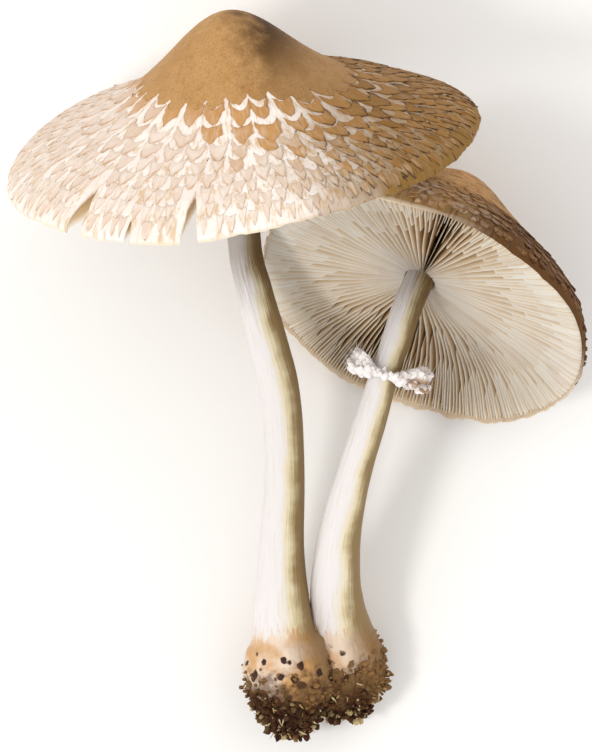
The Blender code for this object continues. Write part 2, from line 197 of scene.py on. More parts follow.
def paint(code):
    """A colour written as on a paint chart, in the numbers that a shader takes."""
    shares = [int(code[i : i + 2], 16) / 255 for i in (0, 2, 4)]
    return (*(s / 12.92 if s <= 0.04045 else ((s + 0.055) / 1.055) ** 2.4 for s in shares), 1.0)


class Value:
    """One output of a finish's node. Arithmetic on it adds Math nodes."""

    def __init__(self, finish, socket):
        self.finish = finish
        self.socket = socket

    def math(self, operation, *others):
        values = dict(enumerate((self, *others)))
        return self.finish.node("Math", {"operation": operation}, values)

    def __add__(self, other):
        return self.math("ADD", other)

    def __sub__(self, other):
        return self.math("SUBTRACT", other)

    def __mul__(self, other):
        return self.math("MULTIPLY", other)

    def __truediv__(self, other):
        return self.math("DIVIDE", other)

    def __rsub__(self, other):
        return self.finish.node("Math", {"operation": "SUBTRACT"}, {0: other, 1: self})

    __radd__ = __add__
    __rmul__ = __mul__

    def step(self, low, high):
        """0 below low and 1 above high, with a smooth rise between."""
        values = {"Value": self, "From Min": low, "From Max": high}
        return self.finish.node("MapRange", {"interpolation_type": "SMOOTHSTEP"}, values)

    def over(self, under, tint):
        """The tint laid over what is under it, as thickly as this value says."""
        values = {0: self, 6: under, 7: tint}
        return self.finish.node("Mix", {"data_type": "RGBA"}, values, output=2)


class Finish:
    """One material: a shader, and the nodes that vary it over the surface."""

    def __init__(self, name, roughness, **fixed):
        self.made = bpy.data.materials.new(name)
        self.made.use_nodes = True
        self.tree = self.made.node_tree
        self.shader = self.tree.nodes["Principled BSDF"]
        self.shader.inputs["Roughness"].default_value = roughness
        for socket, value in fixed.items():
            self.shader.inputs[socket.replace("_", " ")].default_value = value

    def node(self, kind, settings=None, values=None, output=0):
        node = self.tree.nodes.new("ShaderNode" + kind)
        for name, setting in (settings or {}).items():
            setattr(node, name, setting)
        for key, value in (values or {}).items():
            if isinstance(value, Value):
                self.tree.links.new(value.socket, node.inputs[key])
            else:
                colour = isinstance(value, str)
                node.inputs[key].default_value = paint(value) if colour else value
        return Value(self, node.outputs[output])

    def parts(self, vector):
        first = self.node("SeparateXYZ", values={0: vector})
        return [Value(self, socket) for socket in first.socket.node.outputs]

    def position(self):
        return self.node("TexCoord", output=3)

    def on_cap(self, cap):
        """Position in the cap's own frame."""
        settings = {"vector_type": "TEXTURE"}
        place = cap.standing.to_translation()
        turned = cap.standing.to_euler()
        values = {"Vector": self.position(), "Location": place, "Rotation": turned}
        return self.node("Mapping", settings, values)

    def noise(self, vector, scale, detail=3.0, roughness=0.55):
        values = {"Vector": vector, "Scale": scale, "Detail": detail, "Roughness": roughness}
        return self.node("TexNoise", values=values)

    def clouds(self, scale, detail=3.0):
        """Noise fixed to the place of each point."""
        return self.noise(self.position(), scale, detail)

    def attribute(self, name):
        return self.node("Attribute", {"attribute_name": name}, output=2)

    def combined(self, x, y, z):
        return self.node("CombineXYZ", values={0: x, 1: y, 2: z})

    def cover(self, colour, height=None, distance=0.0003, strength=1.0):
        """Gives the shader its colour, and its relief as a bump."""
        self.tree.links.new(colour.socket, self.shader.inputs["Base Color"])
        if height:
            values = {"Height": height, "Distance": distance, "Strength": strength}
            bump = self.node("Bump", values=values)
            self.tree.links.new(bump.socket, self.shader.inputs["Normal"])
        return self.made


def spread_round(finish, cap, round_scale, out_scale):
    """Coordinates that stretch a pattern along the cap's radii, with the side and radius."""
    across, up, _ = finish.parts(finish.on_cap(cap))
    radius = (across * across + up * up).math("SQRT") + 0.0001
    vector = finish.combined(
        across / radius * round_scale,
        up / radius * round_scale,
        radius * out_scale,
    )
    return vector, across, up, radius


def wrapped(name, columns, rows, place, finish):
    """A grid wrapped round a form. Place gives the point at two shares: round it, and down it."""
    bm = bmesh.new()
    wrap = bm.loops.layers.uv.new("wrap")
    bmesh.ops.create_grid(bm, x_segments=columns, y_segments=rows, size=0.5)
    for face in bm.faces:
        for loop in face.loops:
            loop[wrap].uv = (loop.vert.co.x + 0.5, loop.vert.co.y + 0.5)
    for vert in bm.verts:
        vert.co = place(vert.co.x + 0.5, vert.co.y + 0.5)
    return finished(name, bm, finish)


def finished(name, bm, finish, closed=True):
    mesh = bpy.data.meshes.new(name)
    mesh.materials.append(finish)
    piece = bpy.data.objects.new(name, mesh)
    bpy.context.scene.collection.objects.link(piece)
    set_down(piece, bm, closed)
    return piece


def set_down(piece, bm, closed=True):
    """Gives the piece its mesh, with seams and poles closed and faces outwards."""
    bmesh.ops.remove_doubles(bm, verts=bm.verts, dist=0.000001)
    if closed:
        bmesh.ops.recalc_face_normals(bm, faces=bm.faces)
    bm.to_mesh(piece.data)
    bm.free()
    piece.data.shade_smooth()
    piece.data.set_sharp_from_angle(angle=math.radians(CREASE))


def smoothed(share):
    share = min(max(share, 0.0), 1.0)
    return share * share * (3 - 2 * share)


def skin_height(cap, radius, angle):
    """Height of the flesh's outer surface, with its low swells and fibres."""
    direction = Vector((math.cos(angle), math.sin(angle), 0.0))
    share = min(radius / cap.radius, 1.0)
    broad = noise.noise(direction * radius * 55 + Vector((0, 0, 7)))
    fibre = noise.noise(direction * 34 + Vector((0, 0, radius * 190)))
    return cap.height(radius) + share * (0.00045 * broad + 0.00010 * fibre)


TOP_SHARE = 0.68  # of the wrapped rows, on the skin side
LIP_SHARE = 0.73  # and to the end of the margin's lip


def flesh_place(cap):
    """The cap's own flesh: down from the boss, round the margin and back under to the stem."""

    def place(turn, down):
        angle = 2 * math.pi * turn
        direction = Vector((math.cos(angle), math.sin(angle), 0.0))
        fray = noise.noise(direction * 9) + 0.7 * noise.noise(direction * 31)
        if down <= TOP_SHARE:
            share = 1 - (1 - down / TOP_SHARE) ** 1.5
            radius = cap.radius * share
            height = skin_height(cap, radius, angle)
            return cap.point(radius + FRAY * fray * share**12, angle, height)
        if down <= LIP_SHARE:
            share = (down - TOP_SHARE) / (LIP_SHARE - TOP_SHARE)
            radius = cap.radius - LIP * share + FRAY * fray * (1 - share)
            return cap.point(radius, angle, -0.0004 * math.sin(math.pi * share) * (1 + fray))
        share = ((down - LIP_SHARE) / (1 - LIP_SHARE)) ** 1.8
        radius = cap.inner_radius * (1 - share)
        return cap.point(radius, angle, cap.flesh_height(radius))

    return place


def brown_shaded_side(cap, across, up):
    """How far a place is towards the cap's brown, painted-shade side, from -1 to 1."""
    at = math.radians(cap.brown_shaded_side)
    return (across * math.cos(at) + up * math.sin(at)) / cap.radius


def flesh_finish(cap, side_low, side_high, pale_lip, ground, blush, straw, brown_and_shade):
    """Cream fibrous flesh, browned to one side partly as painted shade, with short dark flecks and
    a tan underside in painted shade between the gills.
    """
    finish = Finish(f"{cap.name}_flesh", 0.82, Specular_IOR_Level=0.25)
    vector, across, up, radius = spread_round(finish, cap, 30, 260)
    fibres = finish.noise(vector, 1.0, 4.0, 0.65)
    hairs = finish.noise(finish.combined(*[part * 2.6 for part in finish.parts(vector)]), 1.0)
    clouds = finish.clouds(90)
    towards = brown_shaded_side(cap, across, up)
    # browned and painted shade: the cap's side away from the key lamp is browner, partly real
    # browning and partly painted shade
    browned_and_shaded = (towards + (clouds - 0.5) * 0.5).step(side_low, side_high)
    colour = clouds.step(0.42, 0.66).over(ground, blush)
    colour = (fibres.step(0.47, 0.66) * 0.85).over(colour, straw)
    outward = radius / cap.radius
    down = finish.parts(finish.node("UVMap", {"uv_map": "wrap"}))[1]
    lip = down.step(TOP_SHARE - 0.01, TOP_SHARE)
    colour = (lip * 0.8).over(colour, "EBD9C0")
    browned_and_shaded = browned_and_shaded * (1 - lip * pale_lip * (up / cap.radius).step(-0.45, 0.1))
    colour = (browned_and_shaded * (0.40 + fibres * 0.4 + outward * outward * 0.4)).over(colour, brown_and_shade)
    flecks = hairs.step(0.60, 0.68) * (0.15 + browned_and_shaded * 0.85) * outward.step(0.45, 0.7)
    colour = flecks.over(colour, "4A3420")
    # painted shade: the flesh's underside, seen only between the gills' roots, is tan
    colour = down.step(LIP_SHARE, LIP_SHARE + 0.01).over(colour, "CDB48C")
    relief = fibres * 0.7 + hairs * 0.3
    return finish.cover(colour, relief, 0.0005, 0.9)


LARGE_FLESH = flesh_finish(
    LARGE, -0.15, 0.50, 0.3, "F8F0E8", "F3E4D9", "D9B98F", "8A662F"
)

large_cap_flesh = wrapped("large_cap_flesh", 480, 132, flesh_place(LARGE), LARGE_FLESH)


SPLIT_STEPS = 7  # points along each side of a split
SPLIT_PAST = 1.5  # how far its wedge reaches past the margin, in lengths of the split


def split_cutter(cap, angle, width, length):
    """A wedge with torn sides over one split of the margin, as tall as the cap."""

    def torn_side(sign, step):
        share = SPLIT_PAST * step / SPLIT_STEPS
        torn = noise.noise(Vector((share * 4, sign * 3.0, angle)))
        out = cap.radius - length * (1 - share)
        return out, 0.5 * width * (sign * share**0.8 + 0.16 * torn)

    bm = bmesh.new()
    steps = range(1, SPLIT_STEPS + 1)
    outline = [torn_side(-1, step) for step in reversed(steps)]
    outline.append((cap.radius - length, 0.0))
    outline += [torn_side(1, step) for step in steps]
    floor = bm.faces.new([bm.verts.new((x, y, -0.02)) for x, y in outline])
    raised = bmesh.ops.extrude_face_region(bm, geom=[floor])["geom"]
    tops = [item for item in raised if isinstance(item, bmesh.types.BMVert)]
    bmesh.ops.translate(bm, verts=tops, vec=(0, 0, 0.05))
    turn = Matrix.Rotation(math.radians(angle), 4, "Z")
    bmesh.ops.transform(bm, matrix=cap.standing @ turn, verts=bm.verts)
    return finished("split", bm, LARGE_FLESH)


def join_or_cut(piece, other, operation):
    """Joins or cuts at once, and removes the other piece."""
    modifier = piece.modifiers.new(operation.title(), "BOOLEAN")
    modifier.operation = operation
    modifier.solver = "EXACT"
    modifier.object = other
    graph = bpy.context.evaluated_depsgraph_get()
    cut = bpy.data.meshes.new_from_object(piece.evaluated_get(graph))
    piece.modifiers.remove(modifier)
    piece.data = cut
    bpy.data.objects.remove(other)


for split in SPLITS:
    join_or_cut(large_cap_flesh, split_cutter(LARGE, *split), "DIFFERENCE")

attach(large_cap_flesh, "root")
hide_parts("large_cap")


# Large cap, skin on the boss
# The young cap's whole velvety skin stays unbroken only on the boss in the middle. Its edge is torn
# into round lobes, and it lies on the flesh.

DISC_LOBES = 26
DISC_THICKNESS = 0.00045
DISC_TOP = 0.80  # share of the wrapped rows on its upper side
DISC_EDGE = 0.86  # and to the end of its edge
DISC_UNDERCUT = 0.0002


def disc_place(cap, lobes, depth, seed):
    def place(turn, down):
        angle = 2 * math.pi * turn
        direction = Vector((math.cos(angle), math.sin(angle), 0.0))
        uneven = noise.noise(direction * 3 + Vector((0, 0, seed)))
        torn = noise.noise(direction * 22 + Vector((0, 0, seed)))
        lobe = abs(math.sin(lobes * angle / 2 + 0.4 * noise.noise(direction * 2.5))) ** 0.55
        edge = cap.disc_edge(angle) + depth * (lobe - 0.5 + 0.7 * uneven + 0.25 * torn)
        if down <= DISC_TOP:
            share = down / DISC_TOP
            radius = edge * share
            grain = noise.noise(direction * radius * 900)
            rim = smoothed((1 - share) * 14)
            lift = DISC_THICKNESS * (0.45 + 0.55 * rim) + 0.00006 * grain
        elif down <= DISC_EDGE:
            share = (down - DISC_TOP) / (DISC_EDGE - DISC_TOP)
            radius = edge - DISC_UNDERCUT * share
            lift = DISC_THICKNESS * 0.45 * (1 - 3.2 * share)
        else:
            share = (down - DISC_EDGE) / (1 - DISC_EDGE)
            radius = (edge - DISC_UNDERCUT) * (1 - share)
            lift = -DISC_THICKNESS
        return cap.point(radius, angle, skin_height(cap, radius, angle) + lift)

    return place


def velvet_finish(cap, light, dark, warm, side_low, side_high, mottled):
    """Felted skin: fine grain, darker on one side of the boss in painted shade, and mottled."""
    finish = Finish(f"{cap.name}_boss_skin", 0.88, Sheen_Weight=0.06, Specular_IOR_Level=0.2)
    place = finish.on_cap(cap)
    across, up, _ = finish.parts(place)
    grain = finish.noise(place, 2600, 2.0)
    clouds = finish.noise(place, 130, 4.0, 0.65)
    towards = brown_shaded_side(cap, across, up)
    # painted shade: the boss darkens towards the side away from the key lamp, less so at the skin's
    # edge
    shade = (towards + (clouds - 0.5) * 0.35).step(side_low, side_high)
    radius = (across * across + up * up).math("SQRT")
    shade = shade * (0.98 - radius.step(0.45 * cap.disc, 1.05 * cap.disc) * 0.62)
    colour = (clouds.step(0.40, 0.70) * 0.6).over(light, warm)
    colour = shade.over(colour, dark)
    blotches = finish.noise(place, 480, 4.0, 0.7)
    colour = (blotches.step(0.48, 0.64) * mottled).over(colour, "5A3F1C")
    colour = (blotches.step(0.46, 0.36) * mottled * 0.6).over(colour, "D3AE7C")
    colour = (grain.step(0.45, 0.75) * 0.35).over(colour, "5D4126")
    return finish.cover(colour, grain, 0.00022, 0.8)


large_boss_skin = wrapped(
    "large_boss_skin",
    300,
    110,
    disc_place(LARGE, DISC_LOBES, 0.0027, 3.0),
    velvet_finish(LARGE, "C2955F", "45290A", "B5844C", -0.10, 0.14, 0.12),
)
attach(large_boss_skin, "root")


# Large cap, scales
# As the cap opens, the rest of the skin breaks into rings of shields. Each is grown on at its upper
# edge, notched there and pointed below. They get smaller, paler and more ragged towards the margin.

SCALE_ACROSS = 6
SCALE_DOWN = 8
SCALE_THICKNESS = 0.0004
SCALE_LIFT = 0.00026
SCALE_STOP = 0.0007  # how far short of the margin every scale ends, over the skin
DISC_GAP = 0.0001  # from the boss skin's middle edge to the upper corners of the first scales


@dataclass
class Scales:
    """How one cap's scales change from the boss to the margin, as pairs of values."""

    rings: int
    last: float  # radius of the last ring's upper edge
    crowding: float  # under 1, the rings get closer together towards the margin
    count: tuple
    length: tuple
    fill: tuple  # share of its place that a scale is wide
    notch: tuple
    taper: tuple
    curl: tuple
    seed: int


def between(pair, share):
    return pair[0] + (pair[1] - pair[0]) * share


def in_split(radius, angle, cap, spare):
    """Whether a place on the cap is over one of its splits, or closer than the spare width."""
    for degrees, width, length in SPLITS:
        off = (angle - math.radians(degrees) + math.pi) % (2 * math.pi) - math.pi
        opened = max(1 - (cap.radius - radius) / length, 0.0)
        if opened > 0 and abs(off) * radius < 0.5 * width * opened + spare:
            return True
    return False


def add_scale(bm, layers, cap, start, angle, length, half_turn, form, tone, outward):
    """One torn shield of skin, grown on at its upper edge and curled up at its tip."""
    notch, taper, curl, ragged_at = form
    grid = bmesh.ops.create_grid(bm, x_segments=SCALE_ACROSS, y_segments=SCALE_DOWN, size=0.5)
    for vert in grid["verts"]:
        side, down = 2 * vert.co.x, 0.5 - vert.co.y
        tapered = (1 - down**taper) ** 0.9
        ragged = noise.noise(Vector((side * tapered * 1.9, down * 2.7, ragged_at)))
        torn = noise.noise(Vector((side * tapered * 4.0, down * 7.0, ragged_at)))
        width = tapered * (0.94 + 0.22 * down) * (1 + 0.20 * ragged + 0.22 * torn)
        upper = notch * (1 - down) ** 2 * (1 - side**2)
        reach = start + length * (down + upper + 0.07 * ragged + 0.05 * torn)
        reach = cap.out(min(reach, cap.arcs[-1] - SCALE_STOP))
        turn = angle + half_turn * (side * width + 0.30 * ragged * down)
        lift = SCALE_LIFT * smoothed(0.35 + down * 3) + curl * down**3
        vert.co = cap.point(reach, turn, skin_height(cap, reach, turn) + lift)
        for layer, value in zip(layers, (side, down, tone, outward)):
            vert[layer] = value


def scale_layers(bm):
    return [bm.verts.layers.float.new(name) for name in ("side", "down", "tone", "outward")]


def build_scales(cap, scales, finish, splits):
    draw = random.Random(scales.seed)
    bm = bmesh.new()
    layers = scale_layers(bm)
    for ring in range(scales.rings):
        share = ring / (scales.rings - 1)
        count = round(between(scales.count, (max(ring - 1, 0) / (scales.rings - 2)) ** 1.25))
        loose = 0.25 + 0.75 * share
        for i in range(count):
            off = 0.5 * (1 - max(ring - 1, 0) % 2) + loose * draw.uniform(-0.26, 0.26)
            angle = 2 * math.pi * (i + off) / count
            edges = (cap.arc(cap.disc_edge(angle) + DISC_GAP), cap.arc(scales.last))
            start = between(edges, share**scales.crowding) + 0.0011 * loose * draw.uniform(-1, 1)
            length = between(scales.length, share) * draw.uniform(0.85, 1.12)
            half_turn = between(scales.fill, share) * draw.uniform(0.80, 1.04) * math.pi / count
            form = (
                between(scales.notch, share) * draw.uniform(0.5, 1.3),
                between(scales.taper, share) * draw.uniform(0.85, 1.15),
                between(scales.curl, share) * draw.uniform(0.3, 1.6),
                draw.uniform(0, 90),
            )
            tone = draw.random()
            if splits and in_split(cap.out(start + 0.8 * length), angle, cap, 0.0012):
                continue
            add_scale(bm, layers, cap, start, angle, length, half_turn, form, tone, share)
    piece = finished(f"{cap.name}_scales", bm, finish, closed=False)
    thicken(piece, SCALE_THICKNESS)
    return piece


def thicken(piece, thickness):
    modifier = piece.modifiers.new("Thickness", "SOLIDIFY")
    modifier.thickness = thickness
    modifier.offset = -1.0


def scale_finish(cap, near, far, brown_and_shade, side_low, side_high, wear_and_side_shade):
    """Ochre by the boss, pale further out, brown to one side partly as painted shade, with dark
    tips, more of them on that side, and some wear.
    """
    finish = Finish(f"{cap.name}_scale_skin", 0.85, Sheen_Weight=0.05, Specular_IOR_Level=0.2)
    vector, across, up, _ = spread_round(finish, cap, 40, 300)
    fibres = finish.noise(vector, 1.0, 3.0, 0.6)
    clouds = finish.clouds(160)
    side, down = finish.attribute("side"), finish.attribute("down")
    tone, outward = finish.attribute("tone"), finish.attribute("outward")
    towards = brown_shaded_side(cap, across, up)
    # browned and painted shade: the side away from the key lamp, partly real browning and partly
    # painted shade
    browned_and_shaded = (towards + (clouds - 0.5) * 0.4).step(side_low, side_high)
    lighter = (tone - 0.5) * (0.15 + outward * 1.1)
    pale = (outward * 1.1 - towards * 0.9 + lighter).step(0.20, 0.58)
    colour = tone.over(near, "C08D54")
    # partly painted shade: the pale scales turn buff towards that side
    far = (towards.step(-0.25, 0.45) * wear_and_side_shade).over(far, "CFB083")
    colour = (pale * (1 - browned_and_shaded * 0.5)).over(colour, far)
    colour = (clouds.step(0.48, 0.64) * pale * 0.4).over(colour, "F4EAE0")
    rim = (down * down * 0.9 + side * side * 0.5 + (fibres - 0.5) * 0.7).step(0.45, 1.05)
    colour = (rim * pale * (0.35 + tone * 0.4)).over(colour, "BF9262")
    colour = (browned_and_shaded * (0.74 + tone * 0.26)).over(colour, brown_and_shade)
    worn = fibres.step(0.42, 0.72) * (0.15 + outward * 0.45) * (1 - browned_and_shaded * 0.75) * wear_and_side_shade
    colour = worn.over(colour, "FBF3E8")
    edge = (down + side * side * 0.3 + (fibres - 0.5) * 0.8).step(0.84, 1.08)
    torn = (side + (fibres - 0.5) * 1.2).step(0.62, 0.95) * tone.step(0.45, 0.6)
    # dark tips and torn edges, mostly on the shaded side, partly painted shade
    dark = edge.math("MAXIMUM", torn) * (0.03 + browned_and_shaded * 0.85)
    colour = dark.over(colour, "3F2610")
    return finish.cover(colour, fibres + clouds * 0.4, 0.0003, 0.6)


LARGE_SCALES = Scales(
    rings=8,
    last=0.0510,
    crowding=0.88,
    count=(26, 116),
    length=(0.0074, 0.0052),
    fill=(0.97, 0.86),
    notch=(0.36, 0.10),
    taper=(2.0, 1.1),
    curl=(0.0, 0.00010),
    seed=7,
)

large_scales = build_scales(
    LARGE,
    LARGE_SCALES,
    scale_finish(LARGE, "C49258", "E2CDBB", "81591F", -0.15, 0.50, 1.0),
    splits=True,
)
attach(large_scales, "root")


# Large cap, gills
# Thin cream blades hang under the flesh and run from near the stem to the margin, free of the stem.
# Between each two long ones stand three short ones. They are soft and a little wavy.

GILL_THICKNESS = 0.00042
GILL_ROOT = 0.0003  # how far the gills are sunk in the flesh
GILL_STEPS = 22
GILL_STOP = 0.0004  # from the cap's margin to the gills' ends
GILL_TURN = 0.0013  # length over which a gill's edge rises into its end
LARGE_GILLS = 92  # long ones, and three times as many short ones


def add_gill(bm, layers, cap, angle, start, draw):
    """One gill as a blade, closed at both ends. The grid goes down one face and up the other."""
    below_layer, out_layer, tone_layer = layers
    grid = bmesh.ops.create_grid(bm, x_segments=GILL_STEPS, y_segments=6, size=0.5)
    tone, wave = draw.random(), draw.uniform(0, 80)
    reach = cap.radius - GILL_STOP
    short = start > 0.2 * cap.radius
    for vert in grid["verts"]:
        out, round_it = 1 - (0.5 - vert.co.x) ** 1.5, vert.co.y + 0.5
        deep = 1 - abs(2 * round_it - 1)
        face = math.copysign(1.0, round_it - 0.5) if 0.01 < deep < 0.99 else 0.0
        radius = start + (reach - start) * out
        root = cap.flesh_height(radius) + GILL_ROOT
        free = cap.hollow * (1 - radius / cap.radius) ** 1.1
        from_end = smoothed((reach - radius) / GILL_TURN)
        free = min(free, root - 0.0012 * from_end - 0.0002)
        free -= 0.0003 * from_end * smoothed((radius / cap.radius - 0.75) * 5)
        grown = smoothed(out / 0.40) if short else 1.0
        ragged = 0.00012 * noise.noise(Vector((radius * 700, wave, 0)))
        height = root + (free + ragged - root) * grown * deep
        bend = noise.noise(Vector((radius * 90, wave, 1))) * 0.00030 * deep
        ends = smoothed(out * (5 if short else 40)) * smoothed((reach - radius) / 0.0005)
        narrow = min(1.0, 0.45 + radius / (0.6 * cap.radius))
        thick = 0.5 * GILL_THICKNESS * narrow * (1 - 0.35 * deep) * ends * face
        vert.co = cap.point(radius, angle + (bend + thick) / radius, height)
        vert[below_layer] = (1 - deep) * abs(root - free) * grown * 1000
        vert[out_layer] = radius / cap.radius
        vert[tone_layer] = tone


def build_gills(cap, count, finish, seed, splits):
    draw = random.Random(seed)
    bm = bmesh.new()
    layers = [bm.verts.layers.float.new(name) for name in ("below", "out", "tone")]
    for i in range(4 * count):
        angle = 0.5 * math.pi * (i + draw.uniform(-0.22, 0.22)) / count
        start = cap.gill_start * draw.uniform(1.0, 1.04)
        if i % 2:
            start = cap.radius * draw.uniform(0.62, 0.84)
        elif i % 4:
            start = cap.radius * draw.choice((0.24, 0.34, 0.46)) * draw.uniform(0.9, 1.1)
        if splits and in_split(cap.radius - 0.002, angle, cap, 0.0002):
            continue
        add_gill(bm, layers, cap, angle, start, draw)
    return finished(f"{cap.name}_gill_blades", bm, finish)


def gill_finish(cap):
    """Cream edges over faces tan with painted shade deeper between the blades, and browner towards
    the stem in painted shade. Below is millimetres from the edge.
    """
    finish = Finish(f"{cap.name}_gill_flesh", 0.75, Specular_IOR_Level=0.25)
    below, out, tone = (finish.attribute(name) for name in ("below", "out", "tone"))
    clouds = finish.clouds(110)
    # painted shade: the blades' faces turn tan deeper between them, away from their cream free
    # edges
    face = below.step(0.25, 2.2).over("FBF0DC", "D9BD92")
    edge = 1 - (below + (clouds - 0.5) * 0.3).step(0.16, 0.55)
    colour = edge.over(face, "FFFFFC")
    # painted shade: browner in the hollow round the stem
    colour = ((1 - out.step(0.10, 0.45)) * 0.20).over(colour, "A58353")
    colour = (tone.step(0.55, 1.0) * 0.25).over(colour, "D9BE98")
    colour = (clouds.step(0.55, 0.70) * 0.20).over(colour, "DCC5B6")
    return finish.cover(colour, clouds, 0.0002, 0.4)


large_gill_blades = build_gills(LARGE, LARGE_GILLS, gill_finish(LARGE), 31, splits=True)
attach(large_gill_blades, "root")
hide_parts("large_gills")


# Small cap, flesh
# The second cap is tipped the other way and shows its underside. It is fuller on the side that it
# lies on, and darker brown all over its skin.

SMALL = Cap(
    name="small",
    centre=(0.0263, 0.0158, 0.0359),
    lean=25.3,
    tilt=-34.3,
    radius=0.0395,
    dome=0.0220,
    dome_power=2.0,
    edge_power=0.60,
    umbo=0.0157,
    umbo_width=0.0182,
    flesh=0.0187,
    hollow=0.0075,
    gill_start=0.0037,
    waves=((0.0008, 200.0, 2), (0.0007, -40.0, 3), (0.0004, 20.0, 7)),
    off_centre=(0.0034, 0.0),
    bulge=(0.0060, 66.0),
    disc=0.0258,
    disc_spread=-0.26,
    brown_shaded_side=-8.0,
)

small_cap_flesh = wrapped(
    "small_cap_flesh",
    380,
    120,
    flesh_place(SMALL),
    flesh_finish(
        SMALL, -0.3, 0.5, 0.9, "C4A272", "B28A58", "9A6E38", "5E3C16"
    ),
)
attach(small_cap_flesh, "root")
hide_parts("small_cap")


# Small cap, skin on the boss
# The same velvety skin as on the large cap, orange-tan at the top, with olive-brown painted shade
# down its side.

small_boss_skin = wrapped(
    "small_boss_skin",
    240,
    90,
    disc_place(SMALL, 24, 0.0020, 9.0),
    velvet_finish(SMALL, "C4935A", "64451C", "C68A4E", -0.05, 0.45, 0.6),
)
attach(small_boss_skin, "root")


# Small cap, scales
# Its scales stand up more than the large cap's, so that its outline is ragged.

SMALL_SCALES = Scales(
    rings=9,
    last=0.0387,
    crowding=1.0,
    count=(44, 92),
    length=(0.0040, 0.0032),
    fill=(0.99, 1.06),
    notch=(0.25, 0.05),
    taper=(2.2, 2.6),
    curl=(0.0, 0.00075),
    seed=11,
)

SMALL_SCALE_SKIN = scale_finish(
    SMALL, "B48448", "AF8453", "5A3514", -0.20, 0.60, 0.35
)
small_scales = build_scales(SMALL, SMALL_SCALES, SMALL_SCALE_SKIN, splits=False)
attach(small_scales, "root")


# Small cap, gills
# As under the large cap, in the same soft cream flesh. These are fully in view.

SMALL_GILLS = 80

small_gill_blades = build_gills(SMALL, SMALL_GILLS, gill_finish(SMALL), 32, splits=False)
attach(small_gill_blades, "root")
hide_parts("small_gills")


# Stems
# Two slender stems of silky white fibres, grown into one at their bulbs. Each stands in its cap up
# to the flesh. One side is buff to olive-brown, partly a real tint and partly painted shade, and
# their tops carry a painted shadow of the caps. The bulbs are ochre with small dark warts, with
# painted shade on the same side.

# Each stem from its cap's rim plane to the tip of its bulb: (x, y, z, radius).
LARGE_STEM = (
    (-0.0118, 0.0497, 0.0518, 0.0038),
    (-0.0116, 0.0295, 0.0432, 0.0038),
    (-0.0092, 0.0180, 0.0392, 0.0041),
    (-0.0062, 0.0064, 0.0352, 0.0045),
    (-0.0034, -0.0053, 0.0316, 0.0045),
    (-0.0024, -0.0229, 0.0270, 0.0046),
    (-0.0031, -0.0401, 0.0224, 0.0052),
    (-0.0031, -0.0528, 0.0192, 0.0064),
    (-0.0026, -0.0600, 0.0174, 0.0072),
    (-0.0020, -0.0642, 0.0164, 0.0090),
    (-0.0015, -0.0700, 0.0150, 0.0098),
    (-0.0012, -0.0750, 0.0140, 0.0087),
    (-0.0010, -0.0802, 0.0131, 0.0061),
    (-0.0009, -0.0840, 0.0126, 0.0022),
)
SMALL_STEM = (
    (0.0263, 0.0158, 0.0359, 0.0034),
    (0.0236, 0.0080, 0.0386, 0.0034),
    (0.0207, -0.0006, 0.0397, 0.0032),
    (0.0174, -0.0112, 0.0384, 0.0037),
    (0.0138, -0.0229, 0.0342, 0.0040),
    (0.0109, -0.0346, 0.0288, 0.0047),
    (0.0095, -0.0464, 0.0220, 0.0056),
    (0.0098, -0.0545, 0.0166, 0.0063),
    (0.0108, -0.0605, 0.0128, 0.0072),
    (0.0121, -0.0660, 0.0102, 0.0080),
    (0.0122, -0.0710, 0.0094, 0.0075),
    (0.0119, -0.0762, 0.0090, 0.0058),
    (0.0116, -0.0803, 0.0088, 0.0022),
)

# Places in the stem's points where the bulb starts to swell, and where soil starts to cling.
LARGE_BULB = 10.0
SMALL_BULB = 9.5
LARGE_SOIL = 12.3
SMALL_SOIL = 11.2
BULB_GRAIN = 160


def stem_points(cap, points):
    """The stem's points, with two more at its top, which stands in the cap up to its flesh."""
    top = cap.flesh_height(0.0) - 0.0004
    inside = []
    for height in (top, 0.6 * top):
        spot = cap.standing @ Vector((0, 0, height)) - LAID
        inside.append((*spot, points[0][3]))
    return (*inside, *points)


def along(points, place):
    """The smooth curve through the points at a place counted in points: position and radius."""
    start = min(int(place), len(points) - 2)
    t = place - start
    before, here, there, after = (
        Vector(points[min(max(start + step, 0), len(points) - 1)]) for step in (-1, 0, 1, 2)
    )
    curve = (
        2 * here
        + (there - before) * t
        + (2 * before - 5 * here + 4 * there - after) * t * t
        + (3 * here - before - 3 * there + after) * t**3
    ) / 2
    return Vector(curve[:3]), curve[3]


def across(points, place):
    """Two directions square to the stem at a place, and the one along it towards the bulb."""
    ahead = along(points, min(place + 0.1, len(points) - 1))[0]
    behind = along(points, max(place - 0.1, 0))[0]
    down = (ahead - behind).normalized()
    side = Vector((1, 0, 0)) - down * down.x
    side.normalize()
    return side, down.cross(side), down


def bulb_wart(centre, direction, strength):
    """Uneven growth of a bulb: broad lumps, and warts of two sizes."""
    spot = centre * BULB_GRAIN + direction * 2.2
    lumps = noise.noise(spot)
    warts = max(noise.noise(spot * 2.7) - 0.15, 0.0)
    small = max(noise.noise(spot * 7.0) - 0.10, 0.0)
    return strength * (0.0007 * lumps + 0.0016 * warts + 0.0007 * small)


def stem_spot(points, swelling, turn, place, thicker=0.0):
    """A point of the stem's skin, and the direction out of it."""
    centre, radius = along(points, place)
    side, depth, _ = across(points, place)
    angle = 2 * math.pi * turn
    direction = side * math.cos(angle) + depth * math.sin(angle)
    strength = smoothed((place - swelling) / 1.5)
    fibre = noise.noise(direction * 7 + Vector((0, 0, place * 0.9)))
    fibre += 0.6 * noise.noise(direction * 17 + Vector((0, 0, place * 2.0)))
    reach = radius + thicker + bulb_wart(centre, direction, strength)
    reach += 0.00011 * fibre * (1 - strength)
    return LAID + centre, direction, reach


